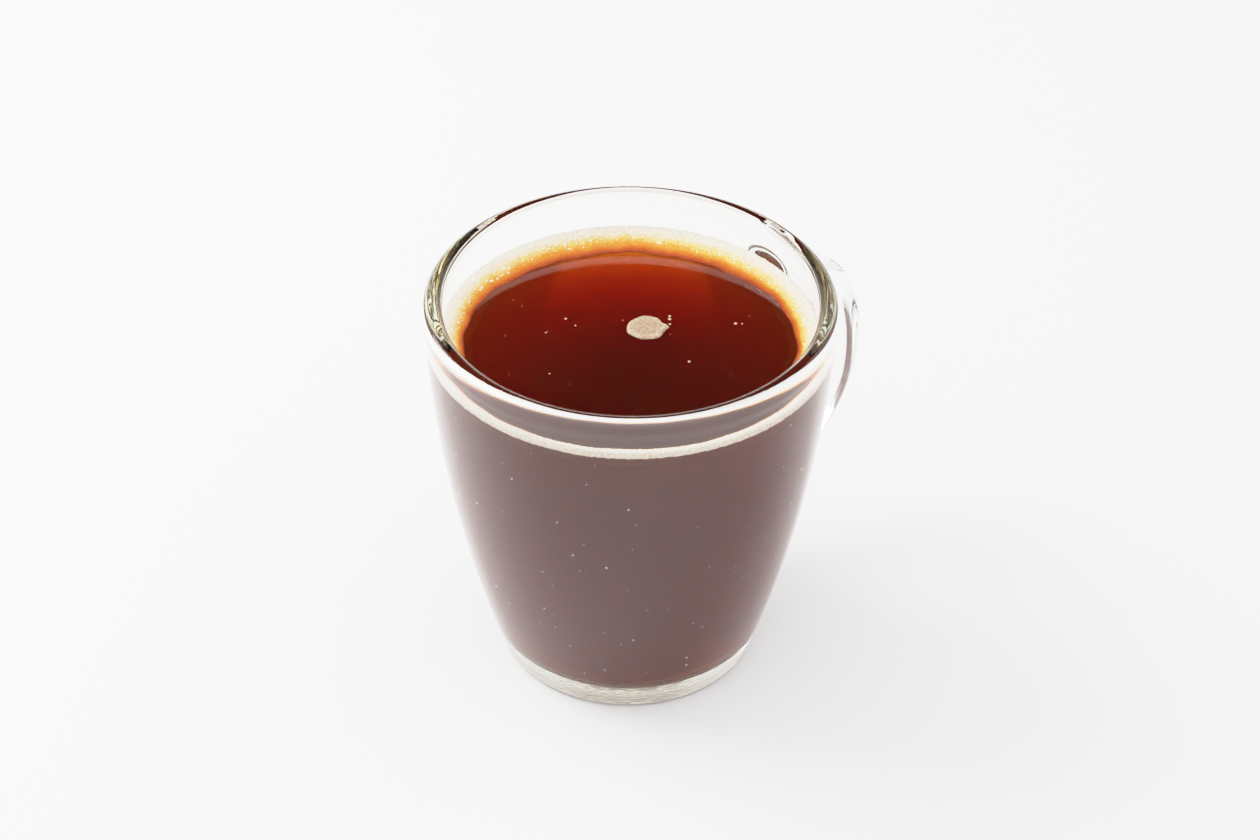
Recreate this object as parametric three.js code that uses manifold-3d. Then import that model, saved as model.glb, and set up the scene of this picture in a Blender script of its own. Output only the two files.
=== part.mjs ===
// Cup of instant coffee: a tapered mug of clear pressed glass with one loop handle,
// filled with coffee to a finger's width below the lip, a ring of froth round the wall
// and one small island of froth near the middle of the surface.
// Millimetres, +Z up. The origin is the middle of the mug's flat base and the handle
// points along +X. The mug and its handle are mirror-symmetric across the XZ plane.

import * as THREE from 'three';
import { mergeVertices } from 'three/addons/utils/BufferGeometryUtils.js';
import Module from 'manifold-3d';

const wasm = await Module();
wasm.setup();

// Mug
const mugHeight = 86;
const rimRadius = 42;
const sideReach = 85;           // height at which the side's curve would meet the rim's radius
const baseRadius = 26.8;        // where the side's curve would meet the table
const sideStraightness = 0.25;  // 0 is all bulge, 1 is a plain cone
const sideBulge = 2.1;
const heelRadius = 2;
const wallThickness = 3;
const lipThickness = 4.2;
const lipRise = 2.5;            // height of the rounded top, half of an oval
const lipBlend = 3;             // how far below the lip its extra thickness dies away
const floorThickness = 4.5;
const floorFillet = 7;

// Handle
const handleWidth = 10;
const handleThickness = 7;
const rootSpread = 0.42;        // share by which the handle swells where it joins the side
const rootReach = 0.13;         // share of the handle's length over which it swells

// Coffee and froth
const coffeeDrop = 9.4;         // from the lip down to the surface
const frothWidth = 3.6;
const frothSwing = 1.7;         // the ring is wider on one side of the cup
const frothWidestAngle = 45;    // degrees round from the handle
const frothRise = 0.9;
const frothDepth = 0.2;         // how far the ring reaches down along the glass
const frothShoulder = 2.6;      // how far in from the glass the coffee's slope begins
const islandRadius = 3.85;
const islandHeight = 0.95;
const islandPlace = new THREE.Vector2(4.2, -0.3);
const islandTail = 0.9;
const islandTailAngle = -38;    // degrees round from the handle
const islandTailSpread = 17;
const islandBevel = 0.35;
const islandInset = 0.45;

// Gap kept between pieces that touch
const contactGap = 0.3;

// How finely the round shapes are cut
const roundSteps = 60;
const sideSteps = 12;
const arcSteps = 5;
const coffeeSideSteps = 10;
const handleSteps = 34;
const handleSides = 14;
const islandSides = 30;

const coffeeLevel = mugHeight - coffeeDrop;
const hollowTop = mugHeight + 5;
const { degToRad, clamp } = THREE.MathUtils;

// Radius of the mug's outside at a height, a straight taper mixed with a bulge
function outerRadius(z) {
  const t = z / sideReach;
  const bulge = 1 - (1 - t) ** sideBulge;
  const share = (1 - sideStraightness) * bulge + sideStraightness * t;
  return baseRadius + (rimRadius - baseRadius) * share;
}

// Radius of the mug's inside at a height, above the rounded corner of its floor
function innerRadius(z) {
  const belowLip = (mugHeight - lipRise - z) / lipBlend;
  const lipExtra = (lipThickness - wallThickness) * Math.exp(-belowLip * belowLip);
  return outerRadius(z) - wallThickness - lipExtra;
}

// Points of an oval's arc from one angle to another, both ends included
function ovalArc(centre, halfWide, halfHigh, fromAngle, toAngle, steps = arcSteps) {
  const points = [];
  for (let i = 0; i <= steps; i += 1) {
    const angle = fromAngle + (toAngle - fromAngle) * (i / steps);
    points.push([centre[0] + halfWide * Math.cos(angle), centre[1] + halfHigh * Math.sin(angle)]);
  }
  return points;
}

function arc(centre, radius, fromAngle, toAngle) {
  return ovalArc(centre, radius, radius, fromAngle, toAngle);
}

// Points up a side whose radius is given by a function of height, both ends included
function side(radiusAt, fromZ, toZ, steps = sideSteps) {
  const points = [];
  for (let i = 0; i <= steps; i += 1) {
    const z = fromZ + (toZ - fromZ) * (i / steps);
    points.push([radiusAt(z), z]);
  }
  return points;
}

// A closed solid of revolution about Z from an outline given as [radius, height]
function turned(outline) {
  const points = outline.map(([r, z]) => new THREE.Vector2(r, z));
  const geometry = new THREE.LatheGeometry(points, roundSteps);
  geometry.rotateX(Math.PI / 2);
  return geometry;
}

// Slope angle of the outside at a height, measured from straight up
function sideLean(z) {
  const step = 0.5;
  return Math.atan((outerRadius(z + step) - outerRadius(z)) / step);
}

// Boolean solids
function toSolid(geometry) {
  const bare = geometry.clone();
  bare.deleteAttribute('normal');
  bare.deleteAttribute('uv');
  const merged = mergeVertices(bare, 1e-4);
  const solidMesh = new wasm.Mesh({
    numProp: 3,
    vertProperties: new Float32Array(merged.attributes.position.array),
    triVerts: new Uint32Array(merged.index.array),
  });
  return new wasm.Manifold(solidMesh);
}

function toGeometry(solid) {
  const mesh = solid.getMesh();
  const geometry = new THREE.BufferGeometry();
  geometry.setAttribute('position', new THREE.BufferAttribute(mesh.vertProperties, 3));
  geometry.setIndex(new THREE.BufferAttribute(mesh.triVerts, 1));
  geometry.computeVertexNormals();
  return geometry;
}

// The lip is half an oval, from the outside over the top to the inside
const lipCentre = rimRadius - lipThickness / 2;
const lipLevel = mugHeight - lipRise;

function lipArc(fromAngle, toAngle) {
  return ovalArc([lipCentre, lipLevel], lipThickness / 2, lipRise, fromAngle, toAngle);
}

// Mug body: everything inside the outer surface, with a rounded heel and lip
function bodyGeometry() {
  const lean = sideLean(0);
  const heelCentre = baseRadius - heelRadius * (1 / Math.cos(lean) - Math.tan(lean));
  const heel = arc([heelCentre, heelRadius], heelRadius, -Math.PI / 2, -lean);
  const heelTop = heel[heel.length - 1][1];
  const outside = side(outerRadius, heelTop, lipLevel).slice(1, -1);
  return turned([[0, 0], ...heel, ...outside, ...lipArc(0, Math.PI / 2), [0, mugHeight]]);
}

// Rounded corner between the hollow's floor and its wall, drawn in by a gap
const cornerTop = floorThickness + floorFillet;

function floorCorner(gap) {
  const centre = innerRadius(cornerTop) - floorFillet;
  return arc([centre, cornerTop], floorFillet - gap, -Math.PI / 2, 0);
}

// Hollow of the mug: floor, rounded corner, inside wall and the lip's inner half
function hollowGeometry() {
  const inside = side(innerRadius, cornerTop, lipLevel).slice(1, -1);
  const lip = lipArc(Math.PI, Math.PI / 2);
  const floor = [0, floorThickness];
  return turned([floor, ...floorCorner(0), ...inside, ...lip, [lipCentre, hollowTop], [0, hollowTop]]);
}

// Middle line of the handle, from inside the upper wall out and back to the lower wall
function handlePath() {
  const stations = [
    [36.8, 75.8],
    [41.4, 74],
    [48.5, 70.4],
    [55.6, 66.2],
    [60.9, 60.4],
    [63.6, 52.6],
    [64.1, 44.2],
    [62.2, 36],
    [57.3, 28.9],
    [50, 22.9],
    [41, 18.6],
    [31.4, 15.2],
    [25.4, 12.4],
  ];
  const points = stations.map(([x, z]) => new THREE.Vector3(x, 0, z));
  return new THREE.CatmullRomCurve3(points, false, 'centripetal');
}

function ovalShape(width, thickness, sides) {
  const shape = new THREE.Shape();
  for (let i = 0; i < sides; i += 1) {
    const angle = (2 * Math.PI * i) / sides;
    const x = (width / 2) * Math.cos(angle);
    const y = (thickness / 2) * Math.sin(angle);
    if (i === 0) {
      shape.moveTo(x, y);
    } else {
      shape.lineTo(x, y);
    }
  }
  shape.closePath();
  return shape;
}

// How much the handle's section is enlarged at a share of its length
function handleSwell(share) {
  const fromEnd = Math.min(share, 1 - share) / rootReach;
  return 1 + rootSpread * Math.exp(-fromEnd * fromEnd);
}

// Handle: a straight bar of oval section, one unit long, bent along the middle line
function handleGeometry() {
  const path = handlePath();
  const bar = new THREE.ExtrudeGeometry(ovalShape(handleWidth, handleThickness, handleSides), {
    steps: handleSteps,
    depth: 1,
    bevelEnabled: false,
  });
  const acrossCup = new THREE.Vector3(0, 1, 0);
  const position = bar.attributes.position;
  for (let i = 0; i < position.count; i += 1) {
    const share = clamp(position.getZ(i), 0, 1);
    const swell = handleSwell(share);
    const spot = path.getPointAt(share);
    const outward = new THREE.Vector3().crossVectors(acrossCup, path.getTangentAt(share));
    spot.addScaledVector(acrossCup, position.getX(i) * swell);
    spot.addScaledVector(outward, -position.getY(i) * swell);
    position.setXYZ(i, spot.x, spot.y, spot.z);
  }
  return bar;
}

function mugGeometry() {
  const filled = toSolid(bodyGeometry()).add(toSolid(handleGeometry()));
  return toGeometry(filled.subtract(toSolid(hollowGeometry())));
}

// Coffee: fills the hollow up to its level, with a shoulder where the froth ring sits
function coffeeGeometry() {
  const wallAt = (z) => innerRadius(z) - contactGap;
  const shoulderLevel = coffeeLevel - frothDepth - contactGap;
  const wall = side(wallAt, cornerTop, shoulderLevel, coffeeSideSteps).slice(1);
  const bottom = [0, floorThickness + contactGap];
  const shoulder = [wallAt(coffeeLevel) - frothShoulder, coffeeLevel];
  return turned([bottom, ...floorCorner(contactGap), ...wall, shoulder, [0, coffeeLevel]]);
}

// Froth ring: how wide it is at an angle round the cup, uneven as the bubbles gather
function frothWidthAt(angle) {
  const swing = frothSwing * Math.cos(angle - degToRad(frothWidestAngle));
  const lobes = 0.16 * Math.sin(5 * angle + 0.7) + 0.12 * Math.sin(11 * angle + 2.1);
  const bubbles = 0.1 * Math.sin(23 * angle + 0.4);
  return frothWidth + swing + lobes + bubbles;
}

function frothRingGeometry() {
  const outside = innerRadius(coffeeLevel) - contactGap;
  const underside = coffeeLevel + contactGap;
  const crown = coffeeLevel + frothRise;
  // Outline as [share of the width in from the glass, height]
  const section = [
    [0, coffeeLevel - frothDepth],
    [0, crown],
    [0.22, crown + 0.12],
    [0.55, crown + 0.1],
    [0.85, crown - 0.15],
    [1, underside + 0.15],
    [0.9, underside],
    [0.5, underside],
  ];
  const outline = section.map(([share, z]) => [outside - share * frothWidth, z]);
  outline[0][0] = innerRadius(coffeeLevel - frothDepth) - contactGap;
  outline.push(outline[0]);
  const geometry = turned(outline);
  const position = geometry.attributes.position;
  const spot = new THREE.Vector3();
  for (let i = 0; i < position.count; i += 1) {
    spot.fromBufferAttribute(position, i);
    const radius = Math.hypot(spot.x, spot.y);
    const share = (outside - radius) / frothWidth;
    const angle = Math.atan2(spot.y, spot.x);
    const widening = Math.max(share, 0) * (frothWidthAt(angle) - frothWidth);
    const scale = (radius - widening) / radius;
    position.setXYZ(i, spot.x * scale, spot.y * scale, spot.z);
  }
  geometry.computeVertexNormals();
  return geometry;
}

// Froth island: radius of its uneven outline at an angle, with the small tail
function islandRadiusAt(angle) {
  const fromTail = angle - degToRad(islandTailAngle);
  const turnsAway = Math.atan2(Math.sin(fromTail), Math.cos(fromTail));
  const tail = islandTail * Math.exp(-((turnsAway / degToRad(islandTailSpread)) ** 2));
  return islandRadius + 0.12 * Math.sin(3 * angle) + 0.08 * Math.sin(7 * angle + 1) + tail;
}

function frothIslandGeometry() {
  const outline = [];
  for (let i = 0; i < islandSides; i += 1) {
    const angle = (2 * Math.PI * i) / islandSides;
    const radius = islandRadiusAt(angle);
    outline.push(new THREE.Vector2(radius * Math.cos(angle), radius * Math.sin(angle)));
  }
  const geometry = new THREE.ExtrudeGeometry(new THREE.Shape(outline), {
    depth: islandHeight - 2 * islandBevel,
    bevelEnabled: true,
    bevelThickness: islandBevel,
    bevelSize: islandInset,
    bevelOffset: -islandInset,
    bevelSegments: 2,
  });
  geometry.translate(islandPlace.x, islandPlace.y, coffeeLevel + contactGap + islandBevel);
  return geometry;
}

// Materials
const glassMaterial = new THREE.MeshStandardMaterial({
  color: 0xeef4f0, roughness: 0.03, metalness: 0, transparent: true, opacity: 0.35,
});
const coffeeMaterial = new THREE.MeshStandardMaterial({ color: 0x3a1208, roughness: 0.06, metalness: 0 });
const frothMaterial = new THREE.MeshStandardMaterial({ color: 0xf0d9b4, roughness: 0.6, metalness: 0 });

// One named mesh for each piece
function piece(name, geometry, material) {
  const mesh = new THREE.Mesh(geometry, material);
  mesh.name = name;
  return mesh;
}

const cup = new THREE.Group();
cup.add(piece('mug', mugGeometry(), glassMaterial));
cup.add(piece('coffee', coffeeGeometry(), coffeeMaterial));
cup.add(piece('froth_ring', frothRingGeometry(), frothMaterial));
cup.add(piece('froth_island', frothIslandGeometry(), frothMaterial));

export default cup;
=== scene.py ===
import math

import bmesh
import bpy
import numpy as np
from mathutils import Matrix, Vector, noise


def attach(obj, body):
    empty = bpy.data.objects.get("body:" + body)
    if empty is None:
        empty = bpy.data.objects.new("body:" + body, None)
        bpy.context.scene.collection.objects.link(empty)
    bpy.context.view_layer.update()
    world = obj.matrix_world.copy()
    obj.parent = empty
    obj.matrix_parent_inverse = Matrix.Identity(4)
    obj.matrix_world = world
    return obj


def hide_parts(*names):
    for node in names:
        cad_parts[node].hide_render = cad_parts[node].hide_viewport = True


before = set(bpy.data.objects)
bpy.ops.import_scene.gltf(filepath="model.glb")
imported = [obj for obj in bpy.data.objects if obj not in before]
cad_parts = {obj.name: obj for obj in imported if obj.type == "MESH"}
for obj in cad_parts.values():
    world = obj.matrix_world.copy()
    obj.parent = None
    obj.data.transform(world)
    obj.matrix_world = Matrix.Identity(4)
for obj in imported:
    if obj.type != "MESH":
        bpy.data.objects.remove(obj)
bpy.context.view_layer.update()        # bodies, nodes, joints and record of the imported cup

scene = bpy.context.scene
mm = 0.001


# Node trees: one call adds a node with its settings and inputs, one wires two nodes
def addNode(tree, kind, inputs=None, **settings):
    node = tree.nodes.new(kind)
    for name, value in settings.items():
        setattr(node, name, value)
    for name, value in (inputs or {}).items():
        node.inputs[name].default_value = value
    return node


def wire(tree, fromNode, fromSocket, toNode, toSocket):
    tree.links.new(fromNode.outputs[fromSocket], toNode.inputs[toSocket])


# a and b are numbers or (node, socket) pairs, and such a pair comes back
def maths(tree, operation, a, b=None):
    node = addNode(tree, "ShaderNodeMath", operation=operation)
    for place, value in enumerate((a, b)):
        if isinstance(value, tuple):
            wire(tree, value[0], value[1], node, place)
        elif value is not None:
            node.inputs[place].default_value = value
    return node, 0


def newTree(name, sockets):
    tree = bpy.data.node_groups.new(name, "GeometryNodeTree")
    for label, kind in sockets.items():
        tree.interface.new_socket(label, in_out="INPUT", socket_type="NodeSocket" + kind)
    tree.interface.new_socket("Result", in_out="OUTPUT", socket_type="NodeSocketGeometry")
    return tree, addNode(tree, "NodeGroupInput"), addNode(tree, "NodeGroupOutput")


# Runs a Geometry Nodes tree on a mesh and keeps the result as a plain mesh
def runTree(name, mesh, tree, values):
    piece = bpy.data.objects.new(name, mesh)
    scene.collection.objects.link(piece)
    modifier = piece.modifiers.new(tree.name, "NODES")
    modifier.node_group = tree
    for item in tree.interface.items_tree:
        if item.in_out == "INPUT" and item.name in values:
            modifier[item.identifier] = values[item.name]
    return makePlain(piece)


def makePlain(piece):
    evaluated = piece.evaluated_get(bpy.context.evaluated_depsgraph_get())
    mesh = bpy.data.meshes.new_from_object(evaluated)
    piece.modifiers.clear()
    piece.data = mesh
    mesh.name = piece.name
    return piece


# Turned form: a profile of points (x is the radius, z the height) carried round Z.
# Waves fade out within waveFade of the axis, where every column meets.
turnedSizes = {"waveFade": 0.02, "weld": 1e-6}


def makeTurnedTree():
    tree, given, result = newTree("turnedForm", {
        "Profile": "Geometry", "Around": "Int", "Waviness": "Float",
        "Wave Scale": "Float", "Finish": "Material"})
    count = addNode(tree, "GeometryNodeAttributeDomainSize")
    wire(tree, given, "Profile", count, "Geometry")
    columns = maths(tree, "ADD", (given, "Around"), 1.0)
    grid = addNode(tree, "GeometryNodeMeshGrid")
    wire(tree, columns[0], 0, grid, "Vertices X")
    wire(tree, count, "Point Count", grid, "Vertices Y")
    index = addNode(tree, "GeometryNodeInputIndex")
    row = maths(tree, "MODULO", (index, 0), (count, "Point Count"))
    column = maths(tree, "FLOOR", maths(tree, "DIVIDE", (index, 0), (count, "Point Count")))
    turn = maths(tree, "DIVIDE", column, (given, "Around"))
    angle = maths(tree, "MULTIPLY", turn, 2 * math.pi)
    position = addNode(tree, "GeometryNodeInputPosition")
    sample = addNode(tree, "GeometryNodeSampleIndex", data_type="FLOAT_VECTOR")
    wire(tree, given, "Profile", sample, "Geometry")
    wire(tree, position, 0, sample, "Value")
    wire(tree, row[0], 0, sample, "Index")
    parts = addNode(tree, "ShaderNodeSeparateXYZ")
    wire(tree, sample, 0, parts, 0)
    around = addNode(tree, "ShaderNodeCombineXYZ")     # a unit vector out from the axis
    wire(tree, maths(tree, "COSINE", angle)[0], 0, around, "X")
    wire(tree, maths(tree, "SINE", angle)[0], 0, around, "Y")
    rest = addNode(tree, "ShaderNodeVectorMath", operation="SCALE")
    wire(tree, around, 0, rest, 0)
    wire(tree, parts, "X", rest, "Scale")
    height = addNode(tree, "ShaderNodeCombineXYZ")
    wire(tree, parts, "Z", height, "Z")
    spot = addNode(tree, "ShaderNodeVectorMath", operation="ADD")
    wire(tree, rest, 0, spot, 0)
    wire(tree, height, 0, spot, 1)
    waves = addNode(tree, "ShaderNodeTexNoise", {"Detail": 1.0})
    wire(tree, spot, 0, waves, "Vector")
    wire(tree, given, "Wave Scale", waves, "Scale")
    swing = maths(tree, "MULTIPLY", maths(tree, "SUBTRACT", (waves, 0), 0.5), (given, "Waviness"))
    reach = maths(tree, "DIVIDE", (parts, "X"), turnedSizes["waveFade"])
    reach = maths(tree, "MINIMUM", reach, 1.0)
    offset = addNode(tree, "ShaderNodeVectorMath", operation="SCALE")
    wire(tree, around, 0, offset, 0)
    wire(tree, maths(tree, "MULTIPLY", swing, reach)[0], 0, offset, "Scale")
    placed = addNode(tree, "GeometryNodeSetPosition")
    wire(tree, grid, "Mesh", placed, "Geometry")
    wire(tree, spot, 0, placed, "Position")
    wire(tree, offset, 0, placed, "Offset")
    closed = addNode(tree, "GeometryNodeMergeByDistance", {"Distance": turnedSizes["weld"]})
    wire(tree, placed, 0, closed, "Geometry")
    finishTree(tree, closed, given, result)
    return tree


# Every tree ends the same way
def finishTree(tree, last, given, result):
    smooth = addNode(tree, "GeometryNodeSetShadeSmooth")
    real = addNode(tree, "GeometryNodeRealizeInstances")
    coat = addNode(tree, "GeometryNodeSetMaterial")
    wire(tree, last, 0, real, "Geometry")
    wire(tree, real, 0, smooth, "Geometry")
    wire(tree, smooth, 0, coat, "Geometry")
    wire(tree, given, "Finish", coat, "Material")
    wire(tree, coat, 0, result, "Result")


# Scattered bubbles: balls of mixed size half sunk in a surface, on what slopes and lies between
# the limits given. The skew makes many small ones and few large.
ballSizes = {"segments": 8, "rings": 6, "skew": 3.0}


def makeBubbleTree():
    tree, given, result = newTree("scatteredBubbles", {
        "Surface": "Geometry", "Density": "Float", "Spacing": "Float", "Smallest": "Float",
        "Largest": "Float", "Sunk": "Float", "Lowest Slope": "Float", "Highest Slope": "Float",
        "Lowest Height": "Float", "Seed": "Int", "Finish": "Material"})
    normal = addNode(tree, "GeometryNodeInputNormal")
    parts = addNode(tree, "ShaderNodeSeparateXYZ")
    wire(tree, normal, 0, parts, 0)
    chosen = maths(tree, "MULTIPLY",
                   maths(tree, "GREATER_THAN", (parts, "Z"), (given, "Lowest Slope")),
                   maths(tree, "LESS_THAN", (parts, "Z"), (given, "Highest Slope")))
    place = addNode(tree, "ShaderNodeSeparateXYZ")
    wire(tree, addNode(tree, "GeometryNodeInputPosition"), 0, place, 0)
    chosen = maths(tree, "MULTIPLY", chosen,
                   maths(tree, "GREATER_THAN", (place, "Z"), (given, "Lowest Height")))
    points = addNode(tree, "GeometryNodeDistributePointsOnFaces", distribute_method="POISSON")
    wire(tree, given, "Surface", points, "Mesh")
    wire(tree, chosen[0], 0, points, "Selection")
    wire(tree, given, "Spacing", points, "Distance Min")
    wire(tree, given, "Density", points, "Density Max")
    wire(tree, given, "Seed", points, "Seed")
    draw = addNode(tree, "FunctionNodeRandomValue", data_type="FLOAT")
    wire(tree, given, "Seed", draw, "Seed")
    skewed = maths(tree, "POWER", (draw, 1), ballSizes["skew"])
    span = maths(tree, "SUBTRACT", (given, "Largest"), (given, "Smallest"))
    size = maths(tree, "ADD", (given, "Smallest"), maths(tree, "MULTIPLY", skewed, span))
    depth = maths(tree, "MULTIPLY", maths(tree, "MULTIPLY", size, (given, "Sunk")), -1.0)
    down = addNode(tree, "ShaderNodeVectorMath", operation="SCALE")
    wire(tree, points, "Normal", down, 0)
    wire(tree, depth[0], 0, down, "Scale")
    sunk = addNode(tree, "GeometryNodeSetPosition")
    wire(tree, points, "Points", sunk, "Geometry")
    wire(tree, down, 0, sunk, "Offset")
    ball = addNode(tree, "GeometryNodeMeshUVSphere", {
        "Radius": 1.0, "Segments": ballSizes["segments"], "Rings": ballSizes["rings"]})
    balls = addNode(tree, "GeometryNodeInstanceOnPoints")
    wire(tree, sunk, 0, balls, "Points")
    wire(tree, ball, "Mesh", balls, "Instance")
    wire(tree, size[0], 0, balls, "Scale")
    finishTree(tree, balls, given, result)
    return tree


turnedTree = makeTurnedTree()
bubbleTree = makeBubbleTree()


def turned(name, profile, around, material, waviness=0.0, waveScale=60.0):
    mesh = bpy.data.meshes.new(name)
    edges = [(i, i + 1) for i in range(len(profile) - 1)]
    mesh.from_pydata([(r, 0, z) for r, z in profile], edges, [])
    return runTree(name, mesh, turnedTree, {
        "Around": around, "Waviness": waviness, "Wave Scale": waveScale, "Finish": material})


# Materials
def newMaterial(name):
    material = bpy.data.materials.new(name)
    material.use_nodes = True
    tree = material.node_tree
    tree.nodes.clear()
    output = addNode(tree, "ShaderNodeOutputMaterial")
    shader = addNode(tree, "ShaderNodeBsdfPrincipled")
    wire(tree, shader, 0, output, "Surface")
    return material, tree, shader, output


def makeClear(shader, ior):
    shader.inputs["Base Color"].default_value = (1, 1, 1, 1)
    shader.inputs["Transmission Weight"].default_value = 1.0
    shader.inputs["IOR"].default_value = ior


# Where glass and coffee touch, both meshes carry a share named "touching". There the glass's
# skin bends light by the ratio of the two, and the coffee's own skin, just inside the wall,
# not at all, so that light crosses and runs along inside the wall as it does in a full mug.
glassLook = {
    "ior": 1.5, "tint": (0.74, 0.90, 0.82, 1), "tintDensity": 4.0,
    "footRoughness": 0.3, "footGrain": 900.0, "footBump": 0.25 * mm, "footBand": (6 * mm, 15 * mm),
}


def bendLess(tree, shader, ior, iorTouching):
    share = addNode(tree, "ShaderNodeAttribute", attribute_name="touching"), 2
    bend = maths(tree, "SUBTRACT", ior, maths(tree, "MULTIPLY", share, ior - iorTouching))
    wire(tree, bend[0], 0, shader, "IOR")


def makeGlass():
    material, tree, shader, output = newMaterial("clearPressedGlass")
    makeClear(shader, glassLook["ior"])
    bendLess(tree, shader, glassLook["ior"], glassLook["ior"] / coffeeLook["ior"])
    # the mug stands on a stippled ring, which scatters the light that runs through its base
    foot = addNode(tree, "ShaderNodeAttribute", attribute_name="stippled")
    rough = maths(tree, "MULTIPLY", (foot, 2), glassLook["footRoughness"])
    wire(tree, rough[0], 0, shader, "Roughness")
    place = addNode(tree, "ShaderNodeTexCoord")
    grain = addNode(tree, "ShaderNodeTexNoise", {"Scale": glassLook["footGrain"], "Detail": 0.0})
    wire(tree, place, "Object", grain, "Vector")
    bump = addNode(tree, "ShaderNodeBump", {"Distance": glassLook["footBump"]})
    wire(tree, grain, 0, bump, "Height")
    wire(tree, foot, 2, bump, "Strength")
    wire(tree, bump, 0, shader, "Normal")
    inside = addNode(tree, "ShaderNodeVolumeAbsorption", {
        "Color": glassLook["tint"], "Density": glassLook["tintDensity"]})
    wire(tree, inside, 0, output, "Volume")
    return material


# Writes a share from 0 to 1 for each point of a mesh, which a material reads by its name
def setShare(piece, name, shareAt):
    share = piece.data.attributes.new(name, "FLOAT", "POINT")
    share.data.foreach_set("value", [float(shareAt(v.co)) for v in piece.data.vertices])


# absorbs: share lost per metre, for red, green and blue
coffeeLook = {"ior": 1.33, "iorAtGlass": 1.001, "absorbs": (45, 180, 470)}


def makeCoffee():
    material, tree, shader, output = newMaterial("blackCoffee")
    makeClear(shader, coffeeLook["ior"])
    shader.inputs["Roughness"].default_value = 0.0
    bendLess(tree, shader, coffeeLook["ior"], coffeeLook["iorAtGlass"])
    density = max(coffeeLook["absorbs"]) * 1.02      # keeps every channel of the colour above 0
    colour = [1 - a / density for a in coffeeLook["absorbs"]] + [1]
    inside = addNode(tree, "ShaderNodeVolumeAbsorption", {"Color": colour, "Density": density})
    wire(tree, inside, 0, output, "Volume")
    return material


# colours by how far a spot is from the glass, or from the island's middle, as a share
frothLook = {
    # the ring goes from cream froth by the glass to an orange fading to dark red from 0.9 on, which
    # is painted glow: the light that shines through the thin coffee at the froth's inner edge
    "ring": [
        (0.0, (0.99, 0.84, 0.69, 1)), (0.4, (0.98, 0.80, 0.60, 1)), (0.7, (0.97, 0.66, 0.37, 1)),
        (0.9, (0.95, 0.48, 0.11, 1)), (1.05, (0.93, 0.30, 0.03, 1)), (1.3, (0.70, 0.14, 0.008, 1)),
        (1.55, (0.36, 0.045, 0.002, 1)), (1.75, (0.21, 0.022, 0.001, 1))],
    "island": [
        (0.0, (0.46, 0.33, 0.22, 1)), (0.55, (0.40, 0.28, 0.18, 1)),
        (0.86, (0.50, 0.37, 0.25, 1)), (1.0, (0.64, 0.50, 0.36, 1))],
    "reach": 1.8, "patch": 420.0, "patchDetail": 4.0, "wobble": 0.34,
    # the cells' painted shade: colour a little lighter on the bubble tops and darker in the dips
    # between them
    "cell": 1600.0, "fineCell": 3600.0, "fineShare": 0.6, "cellSpan": (0.2, 1.1), "paintedDomeLight": 1.06,
    "ringDipShade": 0.30, "islandDipShade": 0.45, "relief": 0.12 * mm, "reliefStrength": 0.55,
    "roughness": 0.45, "shine": 0.25, "softness": 0.5, "softReach": 0.9 * mm,
    "softColours": (1.0, 0.65, 0.35),
}


# A Mix node has its sockets once for each kind of value: the two colours in and the one out
def colourSockets(mix):
    first, second = [s for s in mix.inputs if s.type == "RGBA"]
    return first, second, next(s for s in mix.outputs if s.type == "RGBA")


def makeFroth(name, stops, paintedDipShade):
    material, tree, shader, _ = newMaterial(name)
    place = addNode(tree, "ShaderNodeTexCoord")
    patches = addNode(tree, "ShaderNodeTexNoise", {
        "Scale": frothLook["patch"], "Detail": frothLook["patchDetail"]})
    wire(tree, place, "Object", patches, "Vector")
    wobble = maths(tree, "SUBTRACT", (patches, 0), 0.5)
    wobble = maths(tree, "MULTIPLY", wobble, frothLook["wobble"])
    inward = addNode(tree, "ShaderNodeAttribute", attribute_name="inward"), 2
    share = maths(tree, "DIVIDE", maths(tree, "ADD", inward, wobble), frothLook["reach"])
    ramp = addNode(tree, "ShaderNodeValToRGB")
    marks = ramp.color_ramp.elements
    while len(marks) < len(stops):
        marks.new(0.5)
    for mark, (spot, colour) in zip(marks, stops):
        mark.position, mark.color = spot / frothLook["reach"], colour
    wire(tree, share[0], 0, ramp, "Fac")
    # painted shade: the colour follows the bubble cells, darker in the dips between them where the
    # relief sinks and a little lighter on their tops
    cells = addNode(tree, "ShaderNodeTexVoronoi", {"Scale": frothLook["cell"]})
    fine = addNode(tree, "ShaderNodeTexVoronoi", {"Scale": frothLook["fineCell"]})
    wire(tree, place, "Object", cells, "Vector")
    wire(tree, place, "Object", fine, "Vector")
    fineShare = maths(tree, "MULTIPLY", (fine, 0), frothLook["fineShare"])
    both = maths(tree, "ADD", (cells, 0), fineShare)
    least, most = frothLook["cellSpan"]
    shade = addNode(tree, "ShaderNodeMapRange", {
        "From Min": least, "From Max": most,
        "To Min": frothLook["paintedDomeLight"], "To Max": 1.0 - paintedDipShade})
    wire(tree, both[0], 0, shade, "Value")
    dipShaded = addNode(tree, "ShaderNodeMix", data_type="RGBA", blend_type="MULTIPLY")
    dipShaded.inputs["Factor"].default_value = 1.0
    first, second, mixed = colourSockets(dipShaded)
    tree.links.new(ramp.outputs[0], first)
    tree.links.new(shade.outputs[0], second)
    tree.links.new(mixed, shader.inputs["Base Color"])
    bump = addNode(tree, "ShaderNodeBump", {
        "Strength": frothLook["reliefStrength"], "Distance": frothLook["relief"]}, invert=True)
    wire(tree, both[0], 0, bump, "Height")
    wire(tree, bump, 0, shader, "Normal")
    shader.inputs["Roughness"].default_value = frothLook["roughness"]
    shader.inputs["Specular IOR Level"].default_value = frothLook["shine"]
    shader.inputs["Subsurface Weight"].default_value = frothLook["softness"]
    shader.inputs["Subsurface Radius"].default_value = frothLook["softColours"]
    shader.inputs["Subsurface Scale"].default_value = frothLook["softReach"]
    return material


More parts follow.
